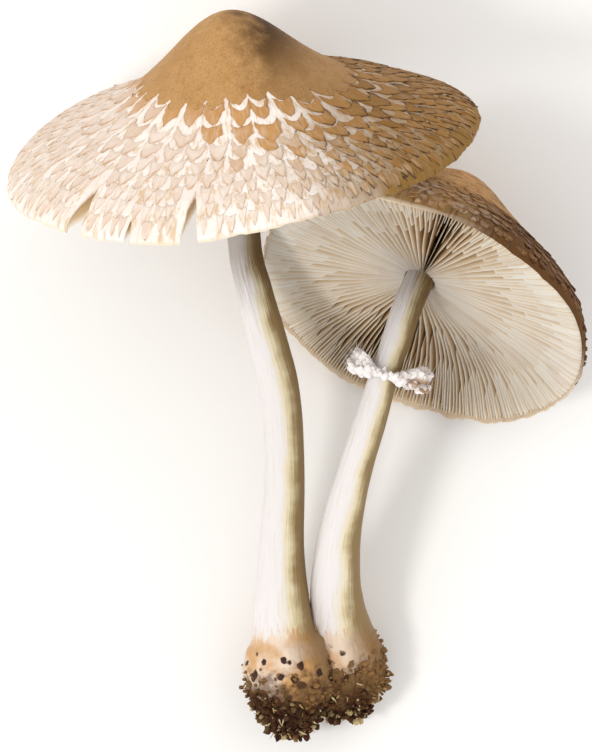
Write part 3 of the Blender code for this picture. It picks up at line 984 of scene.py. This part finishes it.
ROUND_TOP = 0.01
ROUND_TIP = 0.985


def stem_place(points, swelling):
    last = len(points) - 1

    def place(turn, down):
        centre, direction, reach = stem_spot(points, swelling, turn, last * down)
        if down < ROUND_TOP:
            reach *= math.sqrt(1 - (1 - down / ROUND_TOP) ** 2)
        if down > ROUND_TIP:
            reach *= math.sqrt(max(1 - ((down - ROUND_TIP) / (1 - ROUND_TIP)) ** 2, 0.0))
        return centre + direction * reach

    return place


BULB_EDGE = -0.0578  # Y where the white stem gives way to the ochre bulb
SOIL_EDGE = -0.0690
CAP_SHADOW_FROM = 0.012  # Y where the painted shadow of the caps starts on the stems
CAP_SHADOW_TO = 0.030


def stem_finish():
    """Silky white, olive to one side in tint and painted shade, with a painted shadow under the
    caps, ochre and spotted on the bulbs.
    """
    finish = Finish("stem_skin", 0.60, Sheen_Weight=0.05, Specular_IOR_Level=0.25)
    wrap = finish.parts(finish.node("UVMap", {"uv_map": "wrap"}))
    round_it = wrap[0] * (2 * math.pi)
    right, front = round_it.math("COSINE"), round_it.math("SINE")
    length = finish.parts(finish.position())[1]
    silk = finish.noise(finish.combined(right * 9, front * 9, wrap[1] * 14), 1.0, 4.0, 0.7)
    spots = finish.clouds(420)
    clouds = finish.clouds(120)
    uneven = (clouds - 0.5) * 0.8 + (silk - 0.5) * 0.7
    colour = silk.step(0.50, 0.80).over("E4DFDE", "DBD2C6")
    # painted shade over a real buff tint: the stems' side away from the key lamp turns olive-brown
    colour = (right + uneven).step(-0.20, 0.40).over(colour, "E0D2AC")
    colour = ((right + uneven).step(0.18, 0.80) * 0.9).over(colour, "7E602E")
    # painted shadow of the caps on the stems' tops, heavier on the shaded side
    cap_shadow = (length + (silk - 0.5) * 0.02).step(CAP_SHADOW_FROM, CAP_SHADOW_TO)
    cap_shadow = cap_shadow * (0.55 + (right + uneven).step(-0.6, 0.6) * 0.35)
    colour = cap_shadow.over(colour, "553B12")
    ragged = length + (silk - 0.5) * 0.020 + (clouds - 0.5) * 0.006
    bulb = 1 - ragged.step(BULB_EDGE - 0.002, BULB_EDGE)
    ochre = clouds.step(0.38, 0.66).over("CC9C64", "E3CDB8")
    # painted shade: the bulbs darken on the same side as the stems
    ochre = ((right + uneven).step(0.0, 0.9) * 0.9).over(ochre, "7E5C30")
    colour = bulb.over(colour, ochre)
    cells = {"Vector": finish.position(), "Scale": 290.0, "Randomness": 1.0}
    warts = finish.node("TexVoronoi", values=cells)
    lower = 1 - length.step(SOIL_EDGE - 0.003, BULB_EDGE - 0.002)
    wide = 0.15 + lower * 0.15
    spotted = 1 - (warts + (spots - 0.5) * 0.5 - wide).step(0.0, 0.09)
    started = 1 - (length + (clouds - 0.5) * 0.006).step(BULB_EDGE - 0.006, BULB_EDGE - 0.002)
    colour = (spotted * started).over(colour, "331A0C")
    stained = 1 - (length + (spots - 0.5) * 0.020).step(SOIL_EDGE - 0.004, SOIL_EDGE + 0.003)
    colour = (stained * 0.75).over(colour, "5A3B22")
    return finish.cover(colour, silk + spots * 0.4, 0.0003, 0.7)


STEM_SKIN = stem_finish()
large_points = stem_points(LARGE, LARGE_STEM)
small_points = stem_points(SMALL, SMALL_STEM)
stems = wrapped("stems", 72, 250, stem_place(large_points, LARGE_BULB), STEM_SKIN)
small_stem = wrapped("small_stem", 64, 230, stem_place(small_points, SMALL_BULB), STEM_SKIN)
join_or_cut(stems, small_stem, "UNION")
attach(stems, "root")
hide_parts("joined_stems")


# Ring
# What is left of the veil that once joined the cap to the stem: a torn cottony collar, loose on the
# small stem, with its tufts standing up and out at both sides and its lower edge brown.

RING_PLACE = 4.05
RING_REACH = 0.0052
RING_BORE = 0.0005
RING_PUFFS = 210
RING_BROWN_PUFFS = 26

# Round the collar's cross-section: share of its reach out from the bore, and down the stem.
RING_SECTION = (
    (0.00, -0.0014),
    (0.10, -0.0023),
    (0.40, -0.0030),
    (0.75, -0.0036),
    (1.00, -0.0034),
    (1.02, -0.0022),
    (0.70, -0.0013),
    (0.34, -0.0003),
    (0.14, 0.0007),
    (0.00, 0.0014),
)


def ring_finish():
    """White cotton with painted lilac-grey shade in the low places of its bump, and a brown lower
    edge on one side.
    """
    finish = Finish("ring_cotton", 0.92, Sheen_Weight=0.3, Specular_IOR_Level=0.15)
    place = finish.position()
    fluff = finish.noise(place, 1500, 4.0, 0.7)
    clouds = finish.noise(place, 320, 2.0)
    low = finish.attribute("low")
    # painted shade: lilac-grey in the low places of the bump
    colour = fluff.step(0.25, 0.55).over("D9D0D6", "F6F1EE")
    colour = (clouds.step(0.56, 0.72) * 0.35).over(colour, "E6D9C6")
    colour = (low * (0.55 + clouds * 0.6)).over(colour, "A07B55")
    return finish.cover(colour, fluff, 0.0002, 0.4)


RING_COTTON = ring_finish()
ring_centre, ring_stem = along(small_points, RING_PLACE)
ring_side, ring_depth, ring_down = across(small_points, RING_PLACE)


def ring_direction(angle):
    return ring_side * math.cos(angle) + ring_depth * math.sin(angle)


def torn_reach(angle):
    """How far the collar's flap is left at an angle: long at both sides, short in front."""
    direction = Vector((math.cos(angle), math.sin(angle), 0.0))
    sides = 0.26 + 0.80 * abs(math.cos(angle)) ** 1.5
    torn = noise.noise(direction * 3.1 + Vector((0, 0, 4))) + 0.8 * noise.noise(direction * 9.0)
    return RING_REACH * min(sides * (1 + 0.35 * torn), 1.10) * (1 + 0.20 * math.cos(angle))


def ring_place(turn, down):
    angle = 2 * math.pi * turn
    count = len(RING_SECTION)
    at = down * count
    here, there = (Vector(RING_SECTION[(int(at) + step) % count]) for step in (0, 1))
    out, drop = here.lerp(there, smoothed(at - int(at)))
    direction = ring_direction(angle)
    wave = 0.0008 * out * math.sin(7 * angle) + 0.0006 * out * math.sin(17 * angle + 1)
    stand = 0.30 + 0.75 * math.cos(angle) ** 2
    spot = ring_centre + direction * (ring_stem + RING_BORE + out * torn_reach(angle))
    spot += ring_down * (drop * stand + wave)
    fluff = 0.00030 * noise.noise(spot * 1300) + 0.00030 * noise.noise(spot * 520)
    grown = min(out * 6, 1.0)
    return LAID + spot + (direction - ring_down) * fluff * grown


def add_puff(bm, low_layer, centre, outward, size, low, draw, subdivisions=2):
    """One tuft: a small ball, drawn out and made uneven."""
    made = bmesh.ops.create_icosphere(bm, subdivisions=subdivisions, radius=1.0)["verts"]
    seed = Vector((draw.uniform(0, 50), draw.uniform(0, 50), 0))
    stretch = draw.uniform(0.4, 1.1)
    for vert in made:
        bumpy = 1 + 0.4 * noise.noise(vert.co * 1.7 + seed) + 0.2 * noise.noise(vert.co * 4 + seed)
        spot = vert.co * bumpy
        spot += outward * spot.dot(outward) * stretch
        vert.co = centre + spot * size
        if low_layer:
            vert[low_layer] = low


def add_thread(bm, start, direction, length, thickness, bend, layer=None, value=0.0):
    """One fine thread: a grid wrapped into a thin cone, pointed at both ends, that curves."""
    turn = direction.to_track_quat("Z", "Y")
    for vert in bmesh.ops.create_grid(bm, x_segments=5, y_segments=6, size=0.5)["verts"]:
        angle, share = 2 * math.pi * (vert.co.x + 0.5), vert.co.y + 0.5
        radius = 0.5 * thickness * min(8 * share, 1.0) * math.sqrt(max(1 - share, 0.0))
        flat = turn @ Vector((radius * math.cos(angle), radius * math.sin(angle), 0.0))
        vert.co = start + flat + direction * (share * length) + bend * (share**2 * length)
        if layer:
            vert[layer] = value


collar = wrapped("ring", 200, 40, ring_place, RING_COTTON)


def any_way(draw, most=1.0):
    """A vector with each of its parts drawn up to the most."""
    return Vector([draw.uniform(-most, most) for _ in range(3)])


def ring_tufts():
    draw = random.Random(5)
    bm = bmesh.new()
    bm.from_mesh(collar.data)
    low_layer = bm.verts.layers.float.new("low")
    below = ring_down * (RING_REACH * 0.1)
    for vert in bm.verts:
        spot = vert.co - LAID - ring_centre
        right = spot.dot(ring_side) / RING_REACH
        vert[low_layer] = smoothed((spot.dot(ring_down) + 0.0026) * 900) * smoothed(right - 0.6)
    for _ in range(RING_PUFFS):
        angle = draw.choice((0.0, math.pi, math.pi)) + draw.gauss(0, 0.62)
        share = draw.uniform(0.35, 1.05)
        direction = ring_direction(angle)
        out = ring_stem + RING_BORE + torn_reach(angle) * share
        rise = draw.uniform(-0.0010, 0.0036) * (0.5 + 0.5 * share) * abs(math.cos(angle))
        centre = LAID + ring_centre + direction * out - ring_down * rise
        size = draw.uniform(0.00034, 0.00092)
        outward = (direction - ring_down * draw.uniform(0.2, 1.4)).normalized()
        add_puff(bm, low_layer, centre, outward, size, 0.0, draw)
        for _ in range(2):
            lean = any_way(draw)
            way = (outward + 0.7 * lean).normalized()
            length = draw.uniform(0.0010, 0.0027)
            add_thread(bm, centre, way, length, 0.00014, lean * 0.5, low_layer, 0.0)
    for _ in range(RING_BROWN_PUFFS):
        angle = draw.gauss(-0.1, 0.5)
        direction = ring_direction(angle)
        out = ring_stem + RING_BORE + torn_reach(angle) * draw.uniform(0.35, 1.0)
        centre = LAID + ring_centre + direction * out + below - ring_down * draw.uniform(0, 0.0016)
        outward = (direction + ring_down * draw.uniform(0.0, 0.9)).normalized()
        add_puff(bm, low_layer, centre, outward, draw.uniform(0.0003, 0.0007), 1.0, draw)
    set_down(collar, bm)


ring_tufts()
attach(collar, "root")
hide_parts("small_ring")


# Soil
# Dark forest soil that came up with the bulbs: a crumbly crust held by pale threads, thick at the
# tips and thinning out upwards in loose crumbs.


def soil_finish():
    finish = Finish("soil_crumbs", 0.95, Specular_IOR_Level=0.2)
    place = finish.position()
    grains = finish.noise(place, 900, 4.0, 0.7)
    clouds = finish.noise(place, 300, 2.0)
    broad = finish.noise(place, 130, 3.0)
    height = finish.parts(place)[1] + (broad - 0.5) * 0.014
    upper = height.step(SOIL_EDGE - 0.0085, SOIL_EDGE - 0.001)
    pale = finish.attribute("pale")
    colour = grains.step(0.35, 0.65).over("28130B", "58341C")
    colour = (broad.step(0.50, 0.62) * 0.75).over(colour, "835B33")
    colour = (upper * 0.70).over(colour, "9A754A")
    colour = (clouds.step(0.55, 0.68) * 0.6).over(colour, "75603A")
    colour = (grains.step(0.66, 0.74) * 0.7).over(colour, "C2A57F")
    colour = (pale.step(0.80, 0.95) * 0.85).over(colour, "D8C08C")
    return finish.cover(colour, grains, 0.0008, 1.0)


SOIL = soil_finish()
SOIL_OUTSIDE = 0.85  # share of the wrapped rows on the crust's outer side
LARGE_CRUMBS = 420
SMALL_CRUMBS = 330
HANGING_CRUMBS = 46


def soil_place(points, swelling, start, seed):
    """A crust over the lower bulb, from its ragged upper edge to the tip, closed by its inside."""
    last = len(points) - 1

    def place(turn, down):
        angle = 2 * math.pi * turn
        edge = noise.noise(Vector((math.cos(angle) * 2.4, math.sin(angle) * 2.4, seed)))
        edge += 0.6 * noise.noise(Vector((math.cos(angle) * 8, math.sin(angle) * 8, seed)))
        inside = down > SOIL_OUTSIDE
        share = (1 - down) / (1 - SOIL_OUTSIDE) if inside else down / SOIL_OUTSIDE
        at = start + 0.75 * edge + (last - start - 0.75 * edge) * share
        centre, direction, reach = stem_spot(points, swelling, turn, min(at, last))
        if inside:
            return centre + direction * (reach - 0.0008) * min(1.0, 8 * (1 - share))
        spot = (centre + direction * reach) * 1000
        crumbs = 0.55 * noise.noise(spot * 0.42) + 0.45 * abs(noise.noise(spot * 1.1))
        crumbs += 0.22 * noise.noise(spot * 2.6)
        thin = smoothed((noise.noise(spot * 0.55) + 1.5 * share - 0.10) * 3) * smoothed(share * 9)
        thick = -0.0004 * (1 - thin) + thin * (0.0006 + 0.0010 * crumbs)
        closing = math.sqrt(max(1 - ((share - 0.94) / 0.06) ** 2, 0.0)) if share > 0.94 else 1.0
        drop = across(points, min(at, last))[2] * 0.0009 * smoothed((share - 0.8) * 5)
        return centre + drop + direction * (reach + thick) * closing

    return place


soil = wrapped("soil", 110, 80, soil_place(large_points, LARGE_BULB, LARGE_SOIL, 21.0), SOIL)
small_soil = wrapped(
    "small_soil", 96, 74, soil_place(small_points, SMALL_BULB, SMALL_SOIL, 22.0), SOIL
)


def add_crumbs():
    draw = random.Random(8)
    bm = bmesh.new()
    bm.from_mesh(soil.data)
    bm.from_mesh(small_soil.data)
    pale_layer = bm.verts.layers.float.new("pale")
    for points, swelling, start, count in (
        (large_points, LARGE_BULB, LARGE_SOIL, LARGE_CRUMBS),
        (small_points, SMALL_BULB, SMALL_SOIL, SMALL_CRUMBS),
    ):
        last = len(points) - 1
        for _ in range(count):
            low = draw.random() ** 0.7
            at = start - 0.9 + (last - start + 0.8) * low
            turn = draw.random()
            centre, direction, reach = stem_spot(points, swelling, turn, at)
            size = draw.uniform(0.00018, 0.00042) + 0.00045 * draw.random() ** 5
            sunk = 0.0013 * smoothed((at - start + 0.2) * 1.5)
            spot = centre + direction * (reach + sunk + 0.2 * size)
            if spot.z < 0.0009:
                continue
            outward = (direction + 0.6 * any_way(draw)).normalized()
            pale = 0.86 * draw.random() + 0.14 * low
            add_puff(bm, pale_layer, spot, outward, size, pale, draw, 1 if size < 0.0004 else 2)
        for _ in range(HANGING_CRUMBS):
            at = last - 0.05 - 1.3 * draw.random() ** 2
            centre, direction, reach = stem_spot(points, swelling, draw.random(), at)
            way = (across(points, at)[2] + direction * draw.uniform(0.2, 0.9)).normalized()
            size = draw.uniform(0.0005, 0.0010)
            spot = centre + direction * reach + way * draw.uniform(0.0005, 0.0020)
            if spot.z > 0.0005 + 1.8 * size:
                add_puff(bm, pale_layer, spot, 0.8 * way, size, draw.uniform(0.45, 1.0), draw)
    set_down(soil, bm)
    bpy.data.objects.remove(small_soil)


add_crumbs()
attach(soil, "root")
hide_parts("soil_crust")


# Rootlets
# Pale threads of the fungus that run out of the bulbs into the soil, torn off when it was picked.


LARGE_ROOTLETS = 70
SMALL_ROOTLETS = 60


def root_finish():
    finish = Finish("rootlets", 0.8, Specular_IOR_Level=0.2)
    clouds = finish.clouds(400, 2.0)
    colour = clouds.step(0.40, 0.62).over("DCCBA0", "A98D5E")
    return finish.cover(colour, clouds, 0.0002, 0.5)


def build_rootlets():
    draw = random.Random(17)
    bm = bmesh.new()
    for points, swelling, count in (
        (large_points, LARGE_BULB, LARGE_ROOTLETS),
        (small_points, SMALL_BULB, SMALL_ROOTLETS),
    ):
        last = len(points) - 1
        for _ in range(count):
            at = last - 2.0 * draw.random() ** 1.6
            turn = draw.random()
            centre, direction, reach = stem_spot(points, swelling, turn, at)
            down = across(points, at)[2]
            way = direction * draw.uniform(0.2, 1.0) + down * draw.uniform(0.2, 1.0)
            way = (way + 0.5 * any_way(draw)).normalized()
            bend = any_way(draw, 0.6)
            length = draw.uniform(0.0009, 0.0020)
            spot = centre + direction * (reach + 0.0008)
            if min(spot.z, (spot + (way + bend) * length).z) < 0.0006:
                continue
            add_thread(bm, spot, way, length, draw.uniform(0.00028, 0.00065), bend)
    return finished("rootlets", bm, root_finish())


rootlets = build_rootlets()
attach(rootlets, "root")


# Floor
# A plain pale sheet under the pair.

FLOOR_SIZE = 3.0


def floor_finish():
    finish = Finish("pale_floor", 0.9, Specular_IOR_Level=0.1)
    clouds = finish.clouds(3.0, 2.0)
    return finish.cover(clouds.over("FBFAF8", "F8F7F5"))


def build_floor():
    bm = bmesh.new()
    bmesh.ops.create_grid(bm, x_segments=1, y_segments=1, size=FLOOR_SIZE / 2)
    return finished("floor", bm, floor_finish())


build_floor()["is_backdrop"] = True


# Light
# A soft lamp from the left, two broad weak ones from the upper right and the lower left, and an
# even pale room.


def lamp(name, place, aim, size, power, tint):
    light = bpy.data.lights.new(name, "AREA")
    light.shape = "DISK"
    light.size = size
    light.energy = power
    light.color = tint
    holder = bpy.data.objects.new(name, light)
    holder.location = place
    holder.rotation_euler = (Vector(aim) - Vector(place)).to_track_quat("-Z", "Y").to_euler()
    bpy.context.scene.collection.objects.link(holder)


MIDDLE = (0.0, 0.0, 0.04)
lamp("key", (-0.60, -0.28, 1.05), MIDDLE, 0.24, 4.4, (1.0, 0.98, 0.95))
lamp("fill", (0.7, 0.9, 0.7), MIDDLE, 1.2, 3.2, (0.97, 0.98, 1.0))
lamp("low", (-0.7, -0.9, 0.6), MIDDLE, 1.2, 2.0, (1.0, 0.99, 0.98))

room = bpy.data.worlds.new("room")
room.use_nodes = True
room.node_tree.nodes["Background"].inputs["Color"].default_value = (1.0, 0.99, 0.98, 1.0)
room.node_tree.nodes["Background"].inputs["Strength"].default_value = 0.88
bpy.context.scene.world = room
bpy.context.scene.view_settings.view_transform = "Standard"


# Camera
# Straight above the pair, far off and with a long lens, so that the view is that of a drawn plate.

CAMERA_FOCUS = 0.045  # height over the floor at which the picture's scale is true
CAMERA_DISTANCE = 2.4
CAMERA_LENS = 500.0
CAMERA_SIDE = -0.0001
CAMERA_UP = 0.0008

camera_data = bpy.data.cameras.new("camera")
camera_data.lens = CAMERA_LENS
camera_data.sensor_fit = "VERTICAL"
camera_data.clip_end = 10.0
camera_data.sensor_width = 36.0
camera_data.sensor_height = 36.0
camera = bpy.data.objects.new("camera", camera_data)
camera.location = (CAMERA_SIDE, CAMERA_UP, CAMERA_FOCUS + CAMERA_DISTANCE)
bpy.context.scene.collection.objects.link(camera)
bpy.context.scene.camera = camera


dressed_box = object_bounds()
boxes = {"cad": cad_box, "dressed": dressed_box}
boxes = {name: [[float(n) for n in corner] for corner in box] for name, box in boxes.items()}
